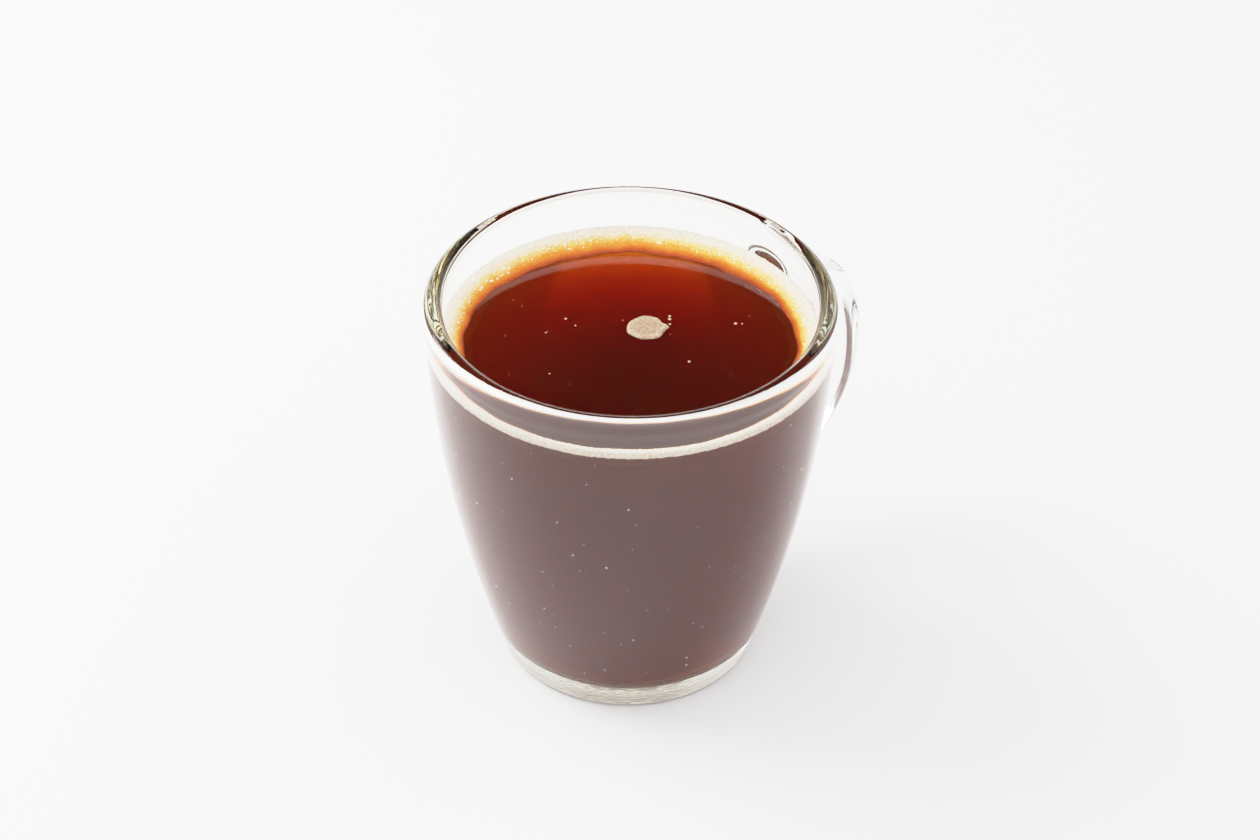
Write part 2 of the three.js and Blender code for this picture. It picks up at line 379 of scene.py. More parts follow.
# Mug
mugSizes = {
    "height": 86 * mm, "sideReach": 85 * mm, "rimRadius": 42 * mm, "baseRadius": 26.8 * mm,
    "straightness": 0.25, "bulge": 2.1, "heelRadius": 2 * mm,
    "wall": 3 * mm, "lip": 4.2 * mm, "lipRise": 2.5 * mm, "lipSquareness": 2.7, "lipBlend": 3 * mm,
    "floor": 4.5 * mm, "floorFillet": 7 * mm,
    "around": 200, "sideSteps": 56, "heelSteps": 10, "cornerSteps": 16, "lipSteps": 36,
    "levelSteps": 6, "waviness": 0.05 * mm, "skinReach": 0.4 * mm,
}


def outerRadius(z):
    t = z / mugSizes["sideReach"]
    bulge = 1 - max(1 - t, 0) ** mugSizes["bulge"]
    share = (1 - mugSizes["straightness"]) * bulge + mugSizes["straightness"] * t
    return mugSizes["baseRadius"] + (mugSizes["rimRadius"] - mugSizes["baseRadius"]) * share


def innerRadius(z):
    belowLip = (mugSizes["height"] - mugSizes["lipRise"] - z) / mugSizes["lipBlend"]
    extra = (mugSizes["lip"] - mugSizes["wall"]) * math.exp(-belowLip * belowLip)
    return outerRadius(z) - mugSizes["wall"] - extra


def arc(centreR, centreZ, radius, start, end, steps):
    angles = [start + (end - start) * i / steps for i in range(steps + 1)]
    return [(centreR + radius * math.cos(a), centreZ + radius * math.sin(a)) for a in angles]


# Rounded corner between a level face at fromZ and a side, tangent to both. Each round comes
# closer to the height at which it meets the side.
def cornerArc(radiusAt, fromZ, radius, steps, grow=0.0, rounds=30, nudge=1e-5):
    touch = fromZ + radius
    for _ in range(rounds):
        slope = (radiusAt(touch + nudge) - radiusAt(touch - nudge)) / (2 * nudge)
        touch = fromZ + radius - radius * slope / math.hypot(1, slope)
    centre = radiusAt(touch) - radius / math.hypot(1, slope)
    return arc(centre, fromZ + radius, radius + grow, -math.pi / 2, -math.atan(slope), steps)


def sideRun(radiusAt, fromZ, toZ, steps):
    heights = [fromZ + (toZ - fromZ) * i / steps for i in range(1, steps)]
    return [(radiusAt(z), z) for z in heights]


# From the axis out along a level face, short of its edge
def levelRun(edge, z):
    steps = mugSizes["levelSteps"]
    return [(edge * i / steps, z) for i in range(steps)]


def mugProfile():
    lipRadius = mugSizes["lip"] / 2
    lipCentre = mugSizes["rimRadius"] - lipRadius
    lipZ = mugSizes["height"] - mugSizes["lipRise"]
    heel = cornerArc(outerRadius, 0, mugSizes["heelRadius"], mugSizes["heelSteps"])
    corner = cornerArc(innerRadius, mugSizes["floor"], mugSizes["floorFillet"],
                       mugSizes["cornerSteps"])
    outside = sideRun(outerRadius, heel[-1][1], lipZ, mugSizes["sideSteps"])
    inside = sideRun(innerRadius, corner[-1][1], lipZ, mugSizes["sideSteps"])
    power = 2 / mugSizes["lipSquareness"]               # the lip is half of a squarish oval
    lip = []
    for i in range(mugSizes["lipSteps"] + 1):
        turn = math.pi * i / mugSizes["lipSteps"]
        across = math.copysign(abs(math.cos(turn)) ** power, math.cos(turn))
        rise = mugSizes["lipRise"] * math.sin(turn) ** power
        lip.append((lipCentre + lipRadius * across, lipZ + rise))
    base = levelRun(heel[0][0], 0)
    floor = levelRun(corner[0][0], mugSizes["floor"])
    return base + heel + outside + lip + inside[::-1] + corner[::-1] + floor[::-1]


# Handle: an oval bar along a smooth path, with a soft fillet where it meets the side
handleSizes = {
    "width": 10 * mm, "thickness": 7 * mm, "squareness": 2.25, "sides": 44,
    "swell": 0.12, "swellReach": 0.12, "fillet": 3.6 * mm, "sink": 0.03 * mm, "rooted": 1.0 * mm,
    "bodySteps": 96, "filletSteps": 10,
    # x and z along the bar's middle line, in mm
    "stations": [
        (36.8, 75.8), (41.4, 74), (48.5, 70.4), (55.6, 66.2), (60.9, 60.4), (63.6, 52.6),
        (64.1, 44.2), (62.2, 36), (57.3, 28.9), (50, 22.9), (41, 18.6), (31.4, 15.2), (25.4, 12.4)],
}


# Natural cubic curve through the stations, resampled evenly: points and headings in XZ
def smoothPath(stations, samples=600):
    knots = np.array(stations, float) * mm
    gaps = np.sqrt(np.linalg.norm(np.diff(knots, axis=0), axis=1))
    t = np.concatenate([[0], np.cumsum(gaps)])
    n = len(t)
    system = np.eye(n)
    right = np.zeros((n, 2))
    for i in range(1, n - 1):
        before, after = t[i] - t[i - 1], t[i + 1] - t[i]
        system[i, i - 1:i + 2] = before, 2 * (before + after), after
        right[i] = 6 * ((knots[i + 1] - knots[i]) / after - (knots[i] - knots[i - 1]) / before)
    bend = np.linalg.solve(system, right)
    fine = np.linspace(0, t[-1], samples)
    k = np.clip(np.searchsorted(t, fine, side="right") - 1, 0, n - 2)
    step = (t[k + 1] - t[k])[:, None]
    a = (t[k + 1] - fine)[:, None] / step
    b = 1 - a
    points = a * knots[k] + b * knots[k + 1]
    points += ((a ** 3 - a) * bend[k] + (b ** 3 - b) * bend[k + 1]) * step ** 2 / 6
    run = np.concatenate([[0], np.cumsum(np.linalg.norm(np.diff(points, axis=0), axis=1))])
    even = np.linspace(0, run[-1], samples)
    points = np.stack([np.interp(even, run, points[:, c]) for c in (0, 1)], 1)
    headings = np.gradient(points, axis=0)
    headings /= np.linalg.norm(headings, axis=1)[:, None]
    return points, headings, run[-1]


def makeHandle(material):
    points, headings, length = smoothPath(handleSizes["stations"])
    shares = np.linspace(0, 1, len(points))

    # where a line of the bar's skin is at a share of the length
    def skin(angle, share):
        x, z = (float(np.interp(share, shares, points[:, c])) for c in (0, 1))
        tx, tz = (float(np.interp(share, shares, headings[:, c])) for c in (0, 1))
        power = 2 / handleSizes["squareness"]
        across = math.copysign(abs(math.cos(angle)) ** power, math.cos(angle))
        out = math.copysign(abs(math.sin(angle)) ** power, math.sin(angle))
        nearEnd = min(share, 1 - share) / handleSizes["swellReach"]
        size = 1 + handleSizes["swell"] * math.exp(-nearEnd * nearEnd)
        out *= handleSizes["thickness"] / 2 * size
        across *= handleSizes["width"] / 2 * size
        return Vector((x - tz * out, across, z + tx * out))

    def outsideBy(spot):
        return math.hypot(spot.x, spot.y) - outerRadius(spot.z)

    # share at which a skin line leaves the glass, searched from one end
    def crossing(angle, end, rounds=40):
        low, high = end, 0.5
        for _ in range(rounds):
            middle = (low + high) / 2
            if outsideBy(skin(angle, middle)) > 0:
                high = middle
            else:
                low = middle
        return high

    def ontoSide(spot, depth):
        radius = outerRadius(spot.z) - depth
        angle = math.atan2(spot.y, spot.x)
        return Vector((radius * math.cos(angle), radius * math.sin(angle), spot.z))

    sides, reach = handleSizes["sides"], handleSizes["fillet"]
    angles = [2 * math.pi * j / sides for j in range(sides)]
    ends = {}
    for end in (0.0, 1.0):
        inward = 1 if end == 0 else -1
        foot = [crossing(a, end) for a in angles]
        middle = sum((skin(a, f) for a, f in zip(angles, foot)), Vector()) / sides
        rings = [[] for _ in range(handleSizes["filletSteps"] + 2)]
        starts = []
        for angle, share in zip(angles, foot):
            start = share + inward * reach / length
            onBar, onSide = skin(angle, start), skin(angle, share)
            away = onSide - middle
            normal = Vector((onSide.x, onSide.y, 0)).normalized()
            away = (away - normal * away.dot(normal)).normalized()
            rim = ontoSide(onSide + away * reach, handleSizes["sink"])
            starts.append(start)
            for k in range(handleSizes["filletSteps"] + 1):
                t = k / handleSizes["filletSteps"]
                rings[k].append(onBar * (1 - t) ** 2 + onSide * 2 * t * (1 - t) + rim * t * t)
            rings[-1].append(ontoSide(rim, handleSizes["rooted"]))
        ends[end] = (starts, rings)
    steps = handleSizes["bodySteps"]
    body = []
    for k in range(1, steps):
        mix = k / steps
        body.append([skin(a, s * (1 - mix) + e * mix)
                     for a, s, e in zip(angles, ends[0.0][0], ends[1.0][0])])
    rings = ends[0.0][1][::-1] + body + ends[1.0][1]
    verts = [spot for ring in rings for spot in ring]
    faces = []
    for k in range(len(rings) - 1):
        for j in range(sides):
            a, b = k * sides + j, k * sides + (j + 1) % sides
            faces.append((a, b, b + sides, a + sides))
    for ring, turn in ((0, -1), (len(rings) - 1, 1)):
        verts.append(sum(rings[ring], Vector()) / sides)
        for j in range(sides):
            a, b = ring * sides + j, ring * sides + (j + 1) % sides
            faces.append((a, b, len(verts) - 1)[::turn])
    mesh = bpy.data.meshes.new("handle")
    mesh.from_pydata(verts, [], faces)
    tidyNormals(mesh)
    mesh.materials.append(material)
    handle = bpy.data.objects.new("handle", mesh)
    scene.collection.objects.link(handle)
    return handle


def tidyNormals(mesh, weld=1e-7):
    form = bmesh.new()
    form.from_mesh(mesh)
    bmesh.ops.remove_doubles(form, verts=form.verts, dist=weld)
    bmesh.ops.recalc_face_normals(form, faces=form.faces)
    for face in form.faces:
        face.smooth = True
    form.to_mesh(mesh)
    form.free()


# Faces, open edges and enclosed volume, for the stage lines
def describe(piece):
    form = bmesh.new()
    form.from_mesh(piece.data)
    loose = sum(1 for edge in form.edges if not edge.is_manifold)
    volume = form.calc_volume(signed=True) / mm ** 3
    form.free()
    return f"{len(piece.data.polygons)} faces, {loose} open edges, {volume:.1f} cubic mm"


def makeMug():
    glass = makeGlass()
    mug = turned("mugGlass", mugProfile(), mugSizes["around"], glass, mugSizes["waviness"])
    handle = makeHandle(glass)
    print("handle:", describe(handle))
    join = mug.modifiers.new("join", "BOOLEAN")
    join.operation, join.solver, join.object = "UNION", "MANIFOLD", handle
    makePlain(mug)
    bpy.data.objects.remove(handle)
    mug.data.shade_smooth()
    edge = mugSizes["skinReach"]

    def meetsCoffee(spot):
        onInside = math.hypot(spot.x, spot.y) < innerRadius(spot.z) + edge
        return onInside and mugSizes["floor"] - edge < spot.z < coffeeLevel - edge

    def isFoot(spot):
        start, end = glassLook["footBand"]
        share = (math.hypot(spot.x, spot.y) - start) / (end - start)
        return min(max(share, 0), 1) if spot.z < edge else 0

    setShare(mug, "touching", meetsCoffee)
    setShare(mug, "stippled", isFoot)
    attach(mug, "root")
    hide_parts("mug")
    print("mug:", describe(mug))


# Coffee. It counts as touching the glass up to a share of the froth's depth under its level.
coffeeSizes = {
    "drop": 9.4 * mm, "intoWall": 0.04 * mm, "climb": 0.02 * mm, "climbReach": 1.2 * mm,
    "shoulder": 2.6 * mm, "touchingTo": 0.5, "around": 200, "surfaceRings": 40, "sideSteps": 50,
}
coffeeLevel = mugSizes["height"] - coffeeSizes["drop"]

# The froth's width swings to its widest at one angle. Waves are height in mm, count and start.
frothSizes = {
    "width": 3.6 * mm, "swing": 1.7 * mm, "widestAngle": 45,
    "waves": [(0.16, 5, 0.7), (0.12, 11, 2.1), (0.1, 23, 0.4)],
    "rise": 1.05 * mm, "depth": 0.35 * mm, "under": 0.15 * mm, "intoWall": 0.8,
    "bump": 0.16 * mm, "bumpSize": 0.55 * mm, "hang": 0.45 * mm, "hangSize": 0.8 * mm,
    "hangMiddle": 0.45,
    "film": 0.035 * mm, "filmFrom": 1.05, "filmAside": 0.5, "around": 760, "sectionSteps": 56,
}


def coffeeProfile():
    into = coffeeSizes["intoWall"]
    corner = cornerArc(innerRadius, mugSizes["floor"], mugSizes["floorFillet"],
                       mugSizes["cornerSteps"], into)
    lowShoulder = coffeeLevel - frothSizes["depth"]
    side = sideRun(innerRadius, corner[-1][1], lowShoulder, coffeeSizes["sideSteps"])
    side = [(r + into, z) for r, z in side] + [(innerRadius(lowShoulder) + into, lowShoulder)]
    edge = innerRadius(coffeeLevel) - coffeeSizes["shoulder"]
    count = coffeeSizes["surfaceRings"]
    surface = []
    for i in range(count + 1):
        r = edge * (1 - i / count)
        climb = coffeeSizes["climb"] * math.exp(-(edge - r) / coffeeSizes["climbReach"])
        surface.append((r, coffeeLevel + climb))
    return levelRun(corner[0][0], mugSizes["floor"] - into) + corner + side + surface


def makeCoffeeBody():
    coffee = turned("coffeeBody", coffeeProfile(), coffeeSizes["around"], makeCoffee())
    top = coffeeLevel - frothSizes["depth"] * coffeeSizes["touchingTo"]
    setShare(coffee, "touching", lambda spot: spot.z < top)
    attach(coffee, "root")
    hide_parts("coffee")
    print("coffee:", describe(coffee))
    return coffee


def uneven(waves, angle):
    return sum(high * math.sin(count * angle + start) for high, count, start in waves) * mm


def frothWidthAt(angle):
    swing = frothSizes["swing"] * math.cos(angle - math.radians(frothSizes["widestAngle"]))
    return frothSizes["width"] + swing + uneven(frothSizes["waves"], angle)


# Rounds a closed outline by cutting its corners, then spaces its points evenly
def roundedOutline(corners, rounds, count, cut=0.25):
    outline = np.array(corners)
    for _ in range(rounds):
        following = np.roll(outline, -1, axis=0)
        near = (1 - cut) * outline + cut * following
        far = cut * outline + (1 - cut) * following
        outline = np.stack([near, far], 1).reshape(-1, 2)
    outline = np.vstack([outline, outline[:1]])
    run = np.concatenate([[0], np.cumsum(np.linalg.norm(np.diff(outline, axis=0), axis=1))])
    even = np.linspace(0, run[-1], count + 1)
    return [(float(np.interp(s, run, outline[:, 0])), float(np.interp(s, run, outline[:, 1])))
            for s in even]


# Fine matter in the drink: clear clouds inside the coffee, just off its skin, that scatter.
# One fills the cup, and a denser one hangs under the froth, where it glows orange.
hazeLook = {
    "ior": 1.001, "inset": 0.25 * mm,
    "density": 58.0, "colour": (1.0, 0.66, 0.36, 1), "forward": 0.79,
    "rimDensity": 80.0, "rimColour": (1.0, 0.72, 0.30, 1), "rimForward": 0.79,
    "rimWide": 7.0 * mm, "rimDeep": 4.5 * mm, "rimSteps": 24,
}


def makeCloud(name, outline, density, colour, forward):
    material, tree, shader, output = newMaterial(name)
    makeClear(shader, hazeLook["ior"])
    shader.inputs["Roughness"].default_value = 0.0
    cloud = addNode(tree, "ShaderNodeVolumeScatter", {
        "Color": colour, "Density": density, "Anisotropy": forward})
    wire(tree, cloud, 0, output, "Volume")
    haze = turned(name, outline, coffeeSizes["around"], material)
    tidyNormals(haze.data)
    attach(haze, "root")
    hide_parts("coffee")
    print(name + ":", describe(haze))
    return haze


def makeHaze():
    inset = hazeLook["inset"]
    top = coffeeLevel - inset
    outline = []
    for r, z in coffeeProfile():
        outline.append((max(r - inset, 0), min(max(z, mugSizes["floor"] + inset), top)))
    makeCloud("coffeeHaze", outline, hazeLook["density"], hazeLook["colour"], hazeLook["forward"])
    wide, deep = hazeLook["rimWide"], hazeLook["rimDeep"]
    high, low = coffeeLevel - frothSizes["depth"] - inset, coffeeLevel - frothSizes["depth"] - deep
    upper, lower = innerRadius(high), innerRadius(low)
    corners = [
        (lower - 2 * inset, low), (upper - 2 * inset, high),
        (upper - 0.5 * wide, top - 0.2 * inset), (upper - wide, top - 0.2 * inset),
        (upper - wide, top - 2 * inset), (lower - 0.4 * wide, low)]
    outline = roundedOutline(corners, 2, hazeLook["rimSteps"])
    rim = makeCloud("rimHaze", outline, hazeLook["rimDensity"], hazeLook["rimColour"],
                    hazeLook["rimForward"])
    for vertex in rim.data.vertices:       # as wide and deep as the froth above it
        angle = math.atan2(vertex.co.y, vertex.co.x)
        more = frothWidthAt(angle) / frothSizes["width"] - 1
        radius = math.hypot(vertex.co.x, vertex.co.y)
        inward = max(innerRadius(vertex.co.z) - 2 * inset - radius, 0)
        scale = 1 - inward * more / radius
        vertex.co.x *= scale
        vertex.co.y *= scale
        vertex.co.z -= max(high - vertex.co.z, 0) * more


# Moves each point of a froth mesh out or in like a skin of packed bubbles, large ones with
# small ones between. They fade out at the film that lies on the drink.
bumpLook = {
    "middle": 0.5, "small": 0.45, "smallHeight": 0.35, "smallMiddle": 0.4,
    "end": 1.15, "fade": 0.1, "step": (7.3, 3.1, 5.7),
}


def frothBumps(mesh, height, size, seed):
    shares = np.zeros(len(mesh.vertices))
    mesh.attributes["inward"].data.foreach_get("value", shares)
    offset = Vector([seed * step for step in bumpLook["step"]])
    normals = [v.normal.copy() for v in mesh.vertices]
    for vertex, normal, share in zip(mesh.vertices, normals, shares):
        near = noise.voronoi(vertex.co / size + offset)[0][0]
        small = noise.voronoi(vertex.co / (size * bumpLook["small"]) + offset)[0][0]
        fade = min(max((bumpLook["end"] - share) / bumpLook["fade"], 0), 1)
        large = bumpLook["middle"] - near * near
        vertex.co += normal * height * fade * (
            large + bumpLook["smallHeight"] * (bumpLook["smallMiddle"] - small))


def setInward(piece, inward):
    piece.data.attributes.new("inward", "FLOAT", "POINT").data.foreach_set("value", inward)


# Froth ring: the outline of the glass on one side, uneven towards the middle, where it ends in a
# thin film with painted glow of light through thin coffee. The section's corners are shares of its
# width, in from the glass.
def makeFrothRing():
    into = coffeeSizes["intoWall"] * frothSizes["intoWall"]
    glassSide = innerRadius(coffeeLevel) + into
    crown = coffeeLevel + frothSizes["rise"]
    low = coffeeLevel - frothSizes["depth"] - frothSizes["under"]
    width, film = frothSizes["width"], frothSizes["film"]

    def at(share, height):
        return glassSide - share * width, height

    corners = [
        (innerRadius(low) + into, low), at(0, coffeeLevel - 0.3 * mm), at(0, crown),
        at(0.30, crown + 0.1 * mm), at(0.62, crown), at(0.9, crown - 0.35 * mm),
        at(1.03, coffeeLevel + 0.2 * mm), at(1.12, coffeeLevel + film), at(1.4, coffeeLevel + film),
        at(1.72, coffeeLevel + film), at(1.74, coffeeLevel - film), at(1.4, coffeeLevel - film),
        at(1.1, coffeeLevel - 2 * film), at(1.0, coffeeLevel - 0.5 * mm), at(0.6, low + 0.2 * mm)]
    outline = roundedOutline(corners, 3, frothSizes["sectionSteps"])
    # its colours end in painted glow on the froth's inner slope and the film
    finish = makeFroth("frothWithPaintedGlow", frothLook["ring"], frothLook["ringDipShade"])
    ring = turned("frothRing", outline, frothSizes["around"], finish)
    aside = frothSizes["filmAside"]
    inward = []
    for vertex in ring.data.vertices:
        radius = math.hypot(vertex.co.x, vertex.co.y)
        share = max((glassSide - radius) / width, 0)
        inward.append(share)
        angle = math.atan2(vertex.co.y, vertex.co.x)
        # the film with its painted glow is widest where the froth is
        facing = max(math.cos(angle - math.radians(frothSizes["widestAngle"])), 0)
        spare = max(share - frothSizes["filmFrom"], 0) * (1 - aside - (1 - aside) * facing)
        scale = 1 - (share * (frothWidthAt(angle) - width) - spare * frothWidthAt(angle)) / radius
        vertex.co.x *= scale
        vertex.co.y *= scale
        # bubbles of mixed size hang down the glass
        below = min(max(coffeeLevel - vertex.co.z, 0) / frothSizes["depth"], 1)
        depth = below * max(1 - share, 0)
        cell = noise.voronoi(vertex.co / frothSizes["hangSize"])[0][0]
        vertex.co.z -= depth * frothSizes["hang"] * (frothSizes["hangMiddle"] - cell)
    setInward(ring, inward)
    tidyNormals(ring.data)
    frothBumps(ring.data, frothSizes["bump"], frothSizes["bumpSize"], 1)
    ring.data.update()
    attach(ring, "root")
    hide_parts("froth_ring")
    print("froth ring:", describe(ring))
    return ring


# Froth island: a low dome with a raised rim and a small tail
islandSizes = {
    "radius": 3.85 * mm, "height": 0.85 * mm, "crown": 0.62, "sunk": 0.25 * mm,
    "place": (4.2 * mm, -0.3 * mm), "waves": [(0.12, 3, 0), (0.08, 7, 1)],
    "tail": 0.9 * mm, "tailAngle": -38, "tailSpread": 11,
    "rimRise": 0.22 * mm, "rimAt": 0.9, "rimSpread": 0.07, "rimPower": 12, "crownPower": 6,
    "bump": 0.11 * mm, "bumpSize": 0.42 * mm, "rings": 40, "underRings": 8, "around": 170,
}


def islandRadiusAt(angle):
    fromTail = angle - math.radians(islandSizes["tailAngle"])
    away = math.atan2(math.sin(fromTail), math.cos(fromTail))
    tail = islandSizes["tail"] * math.exp(-(away / math.radians(islandSizes["tailSpread"])) ** 2)
    return islandSizes["radius"] + uneven(islandSizes["waves"], angle) + tail


def makeFrothIsland():
    radius, height = islandSizes["radius"], islandSizes["height"]
    rings, crownPower = islandSizes["rings"], islandSizes["crownPower"]
    outline = []
    for i in range(rings + 1):
        share = i / rings
        fromRim = (share - islandSizes["rimAt"]) / islandSizes["rimSpread"]
        rim = islandSizes["rimRise"] * math.exp(-fromRim ** 2)
        rim *= 1 - share ** islandSizes["rimPower"]
        dome = height * islandSizes["crown"] * (1 - share ** crownPower) ** 0.5 + rim
        outline.append((radius * share, dome))
    outline[-1] = (radius, 0)
    steps = islandSizes["underRings"]
    outline += [(radius * (1 - i / steps), -islandSizes["sunk"]) for i in range(steps + 1)]
    finish = makeFroth("frothIsland", frothLook["island"], frothLook["islandDipShade"])
    island = turned("frothIsland", outline, islandSizes["around"], finish)
    inward = []
    for vertex in island.data.vertices:
        angle = math.atan2(vertex.co.y, vertex.co.x)
        share = math.hypot(vertex.co.x, vertex.co.y) / radius
        inward.append(share)
        scale = 1 + (islandRadiusAt(angle) / radius - 1) * share ** 2
        vertex.co.x = vertex.co.x * scale + islandSizes["place"][0]
        vertex.co.y = vertex.co.y * scale + islandSizes["place"][1]
        vertex.co.z += coffeeLevel
    setInward(island, inward)
    tidyNormals(island.data)
    frothBumps(island.data, islandSizes["bump"], islandSizes["bumpSize"], 2)
    island.data.update()
    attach(island, "root")
    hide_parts("froth_island")
    print("froth island:", describe(island))


# Bubbles: strewn over the froth, the drink and the wall by the tree, and ten larger ones
bubbleLook = {
    "onDrink": (0.50, 0.30, 0.20, 1), "onFroth": (0.95, 0.82, 0.64, 1), "patch": 900.0,
    "patchDetail": 2.0, "brighter": 1.25, "roughness": 0.25, "softness": 0.4, "softReach": 0.1 * mm,
}


def makeBubbleSkin(name, colour):
    material, tree, shader, _ = newMaterial(name)
    place = addNode(tree, "ShaderNodeTexCoord")
    patches = addNode(tree, "ShaderNodeTexNoise", {
        "Scale": bubbleLook["patch"], "Detail": bubbleLook["patchDetail"]})
    wire(tree, place, "Object", patches, "Vector")
    tint = addNode(tree, "ShaderNodeMix", data_type="RGBA")
    plain, bright, mixed = colourSockets(tint)
    plain.default_value = colour
    bright.default_value = [min(c * bubbleLook["brighter"], 1.0) for c in colour[:3]] + [1]
    wire(tree, patches, 0, tint, "Factor")
    tree.links.new(mixed, shader.inputs["Base Color"])
    shader.inputs["Roughness"].default_value = bubbleLook["roughness"]
    shader.inputs["Subsurface Weight"].default_value = bubbleLook["softness"]
    shader.inputs["Subsurface Radius"].default_value = frothLook["softColours"]
    shader.inputs["Subsurface Scale"].default_value = bubbleLook["softReach"]
    return material


bubbleSizes = {
    "froth": {
        "Density": 2.6e6, "Spacing": 0.42 * mm, "Smallest": 0.08 * mm, "Largest": 0.30 * mm,
        "Sunk": 0.35, "Lowest Slope": 0.15, "Highest Slope": 2.0,
        "Lowest Height": coffeeLevel + 0.22 * mm, "Seed": 4},
    "drink": {
        "Density": 4.0e4, "Spacing": 1.5 * mm, "Smallest": 0.04 * mm, "Largest": 0.13 * mm,
        "Sunk": 0.3, "Lowest Slope": 0.9, "Highest Slope": 2.0,
        "Lowest Height": coffeeLevel - 0.1 * mm, "Seed": 11},
    "wall": {
        "Density": 1.5e4, "Spacing": 2.0 * mm, "Smallest": 0.11 * mm, "Largest": 0.28 * mm,
        "Sunk": 0.5, "Lowest Slope": -0.6, "Highest Slope": 0.3,
        "Lowest Height": 9 * mm, "Seed": 7},
}
largeBubbles = {
    "flat": 0.7, "sunk": 0.2, "segments": 16, "rings": 10,
    # x, y and radius in mm
    "places": [
        (10.6, -0.7, 0.3), (9.9, -1.4, 0.36), (8.7, -2.7, 0.24), (-5.3, 13.4, 0.28),
        (-5.5, 10.3, 0.2), (-11.6, 12.7, 0.18), (18.5, -11.8, 0.34), (19.4, -12.8, 0.2),
        (2.4, -14.4, 0.3), (-20.6, 2.1, 0.18)],
}


def strewBubbles(name, surface, node, values, finish):
    bubbles = runTree(name, surface.data.copy(), bubbleTree, {**values, "Finish": finish})
    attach(bubbles, "root")
    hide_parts(node)
    print(name + ":", len(bubbles.data.polygons), "faces")


def makeLargeBubbles(finish):
    form = bmesh.new()
    flat = Matrix.Diagonal((1, 1, largeBubbles["flat"], 1))
    for x, y, radius in largeBubbles["places"]:
        height = coffeeLevel - largeBubbles["sunk"] * radius * mm
        place = Matrix.Translation((x * mm, y * mm, height))
        bmesh.ops.create_uvsphere(
            form, u_segments=largeBubbles["segments"], v_segments=largeBubbles["rings"],
            radius=radius * mm, matrix=place @ flat)
    form.verts.index_update()
    faces = []                      # in a fixed order, which the ball tool doesn't keep
    for face in form.faces:
        ring = [vertex.index for vertex in face.verts]
        start = ring.index(min(ring))
        faces.append(ring[start:] + ring[:start])
    mesh = bpy.data.meshes.new("surfaceBubbles")
    mesh.from_pydata([vertex.co for vertex in form.verts], [], sorted(faces))
    form.free()
    mesh.materials.append(finish)
    mesh.shade_smooth()
    bubbles = bpy.data.objects.new("surfaceBubbles", mesh)
    scene.collection.objects.link(bubbles)
    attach(bubbles, "root")
    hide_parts("froth_island")
    print("surfaceBubbles:", len(mesh.polygons), "faces")


makeMug()
coffee = makeCoffeeBody()
makeHaze()
ring = makeFrothRing()
makeFrothIsland()
onFroth = makeBubbleSkin("bubbleOnFroth", bubbleLook["onFroth"])
onDrink = makeBubbleSkin("bubbleOnDrink", bubbleLook["onDrink"])
strewBubbles("frothBubbles", ring, "froth_ring", bubbleSizes["froth"], onFroth)
strewBubbles("drinkBubbles", coffee, "froth_ring", bubbleSizes["drink"], onDrink)
strewBubbles("wallBubbles", coffee, "froth_ring", bubbleSizes["wall"], onFroth)
makeLargeBubbles(onDrink)

# Camera: from above, leaning a little. Its place is counted from the rim's middle, in a frame
# turned by the handle's angle.
viewSizes = {
    "pitch": 37.401, "roll": 0.663, "lens": 100.0, "sensor": 36, "near": 0.01, "far": 20,
    "fromRim": (0.131 * mm, -573.767 * mm, 408.868 * mm), "handleTurn": 45.0,
}


def makeCamera():
    camera = bpy.data.objects.new("camera", bpy.data.cameras.new("camera"))
    scene.collection.objects.link(camera)
    camera.data.lens, camera.data.sensor_width = viewSizes["lens"], viewSizes["sensor"]
    camera.data.clip_start, camera.data.clip_end = viewSizes["near"], viewSizes["far"]
    pitch, roll = math.radians(viewSizes["pitch"]), math.radians(viewSizes["roll"])
    turn = Matrix.Rotation(-math.radians(viewSizes["handleTurn"]), 3, "Z")
    ahead = Vector((0, math.cos(pitch), -math.sin(pitch)))
    level, up = Vector((1, 0, 0)), Vector((0, math.sin(pitch), math.cos(pitch)))
    right = level * math.cos(roll) + up * math.sin(roll)
    over = up * math.cos(roll) - level * math.sin(roll)
    axes = Matrix((turn @ right, turn @ over, turn @ -ahead)).transposed()
    place = turn @ Vector(viewSizes["fromRim"]) + Vector((0, 0, mugSizes["sideReach"]))
    camera.matrix_world = Matrix.Translation(place) @ axes.to_4x4()
    scene.camera = camera


# Floor
floorSizes = {"reach": 6.0, "below": 0.2 * mm, "white": 0.9, "roughness": 0.9, "shine": 0.0}


def makeFloor():
    mesh = bpy.data.meshes.new("floor")
    r, z = floorSizes["reach"], -floorSizes["below"]
    mesh.from_pydata([(-r, -r, z), (r, -r, z), (r, r, z), (-r, r, z)], [], [(0, 1, 2, 3)])
    floor = bpy.data.objects.new("floor", mesh)
    scene.collection.objects.link(floor)
    material, _, shader, _ = newMaterial("whiteTable")
    shader.inputs["Base Color"].default_value = (floorSizes["white"],) * 3 + (1,)
    shader.inputs["Roughness"].default_value = floorSizes["roughness"]
    shader.inputs["Specular IOR Level"].default_value = floorSizes["shine"]
    mesh.materials.append(material)


# Light: a white studio all round, with a softbox on the left and one dark window straight
# across from the camera, which the flat drink mirrors
lightSizes = {
    "studio": 1.85, "studioColour": (1.0, 0.995, 0.985, 1), "window": 0.1, "windowTurn": 45.0,
    "windowSpan": (20.0, 32.0), "windowLow": (20.0, 28.0), "windowHigh": (50.0, 60.0),
    "boxPlace": (-0.20, 0.42, 0.50), "boxAim": (0.0, 0.0, 0.03), "boxWide": 0.42, "boxHigh": 0.42,
    "boxPower": 5.5, "boxColour": (1.0, 0.985, 0.96),
    "glassBounces": 32, "hazeBounces": 6,       # light runs far along inside the glass wall
}


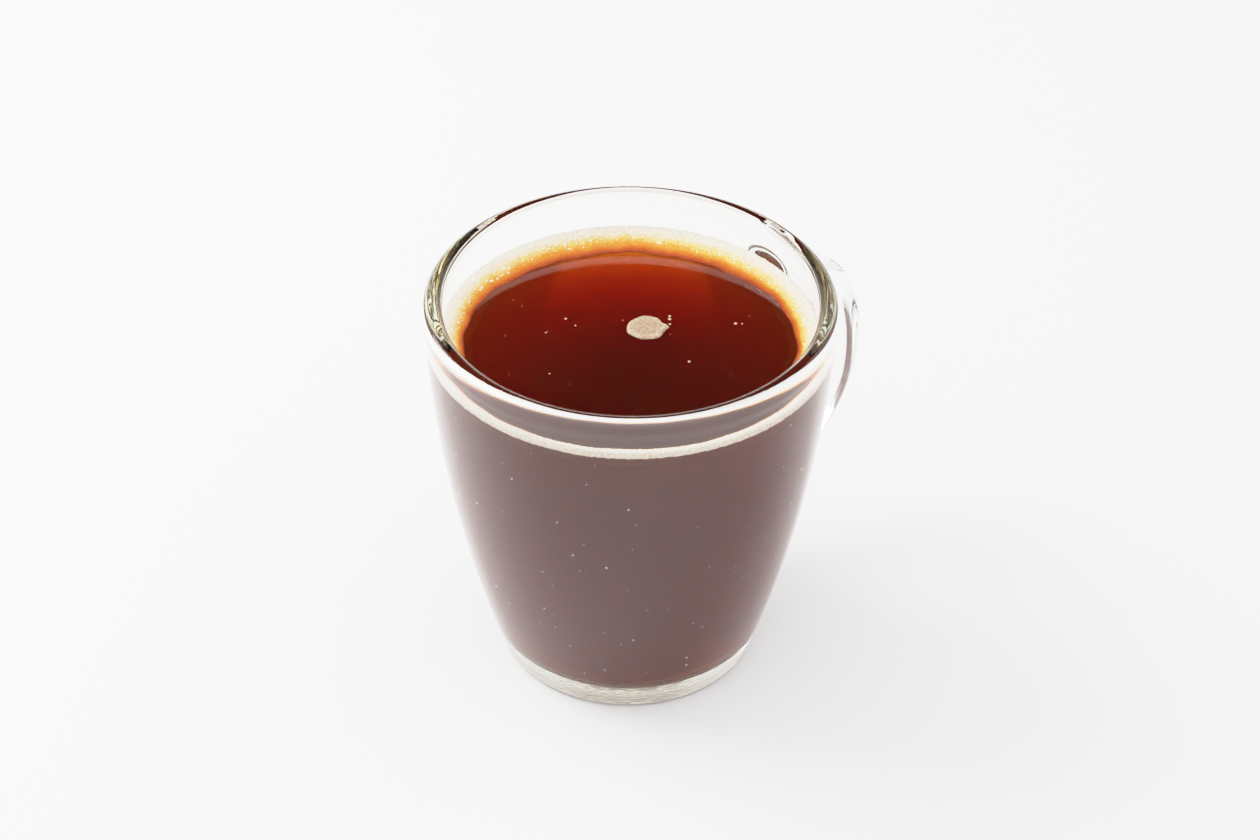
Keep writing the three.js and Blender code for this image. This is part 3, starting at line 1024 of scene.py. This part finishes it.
def makeLight():
    world = bpy.data.worlds.new("studio")
    scene.world = world
    world.use_nodes = True
    tree = world.node_tree
    tree.nodes.clear()
    output = addNode(tree, "ShaderNodeOutputWorld")
    glow = addNode(tree, "ShaderNodeBackground", {"Color": lightSizes["studioColour"]})
    place = addNode(tree, "ShaderNodeTexCoord")
    parts = addNode(tree, "ShaderNodeSeparateXYZ")
    wire(tree, place, "Generated", parts, 0)

    def between(value, limits):
        node = addNode(tree, "ShaderNodeMapRange", {
            "From Min": math.radians(limits[0]), "From Max": math.radians(limits[1])},
            interpolation_type="SMOOTHSTEP")
        wire(tree, value[0], value[1], node, "Value")
        return node, 0

    elevation = maths(tree, "ARCSINE", (parts, "Z"))
    bearing = maths(tree, "ARCTAN2", (parts, "Y"), (parts, "X"))
    aside = maths(tree, "SUBTRACT", bearing, math.radians(lightSizes["windowTurn"]))
    aside = maths(tree, "ABSOLUTE", aside)
    inside = maths(tree, "SUBTRACT", 1.0, between(aside, lightSizes["windowSpan"]))
    tall = maths(tree, "SUBTRACT", between(elevation, lightSizes["windowLow"]),
                 between(elevation, lightSizes["windowHigh"]))
    dark = maths(tree, "MULTIPLY", maths(tree, "MULTIPLY", inside, tall),
                 lightSizes["studio"] - lightSizes["window"])
    strength = maths(tree, "SUBTRACT", lightSizes["studio"], dark)
    wire(tree, strength[0], 0, glow, "Strength")
    wire(tree, glow, 0, output, "Surface")

    softbox = bpy.data.lights.new("softbox", "AREA")
    softbox.shape = "RECTANGLE"
    softbox.size, softbox.size_y = lightSizes["boxWide"], lightSizes["boxHigh"]
    softbox.energy, softbox.color = lightSizes["boxPower"], lightSizes["boxColour"]
    hang(softbox, lightSizes["boxPlace"], lightSizes["boxAim"])


def hang(light, place, aimAt):
    lamp = bpy.data.objects.new(light.name, light)
    lamp.location = place
    lamp.rotation_euler = (Vector(aimAt) - lamp.location).to_track_quat("-Z", "Y").to_euler()
    scene.collection.objects.link(lamp)


# Picture: straight in the darks, rolling off in the brights as an over-exposed white table does
toneSizes = {
    "white": 5.0,
    "points": [(0.05, 0.05), (0.25, 0.25), (0.5, 0.475), (0.8, 0.70), (1.2, 0.83), (1.7, 0.90),
               (2.3, 0.945), (3.2, 0.98)],
}


def makeTone():
    look = scene.view_settings
    look.view_transform, look.look, look.exposure, look.gamma = "Standard", "None", 0, 1
    look.use_curve_mapping = True
    curves = look.curve_mapping
    white = toneSizes["white"]
    curves.white_level = (white,) * 3
    line = curves.curves[3]
    for given, shown in toneSizes["points"]:
        line.points.new(given / white, shown)
    curves.update()


makeCamera()
makeFloor()
makeLight()
makeTone()
scene.cycles.max_bounces = lightSizes["glassBounces"]
scene.cycles.transmission_bounces = lightSizes["glassBounces"]
scene.cycles.glossy_bounces = lightSizes["glassBounces"]
scene.cycles.volume_bounces = lightSizes["hazeBounces"]
print("camera, floor, light and picture set")
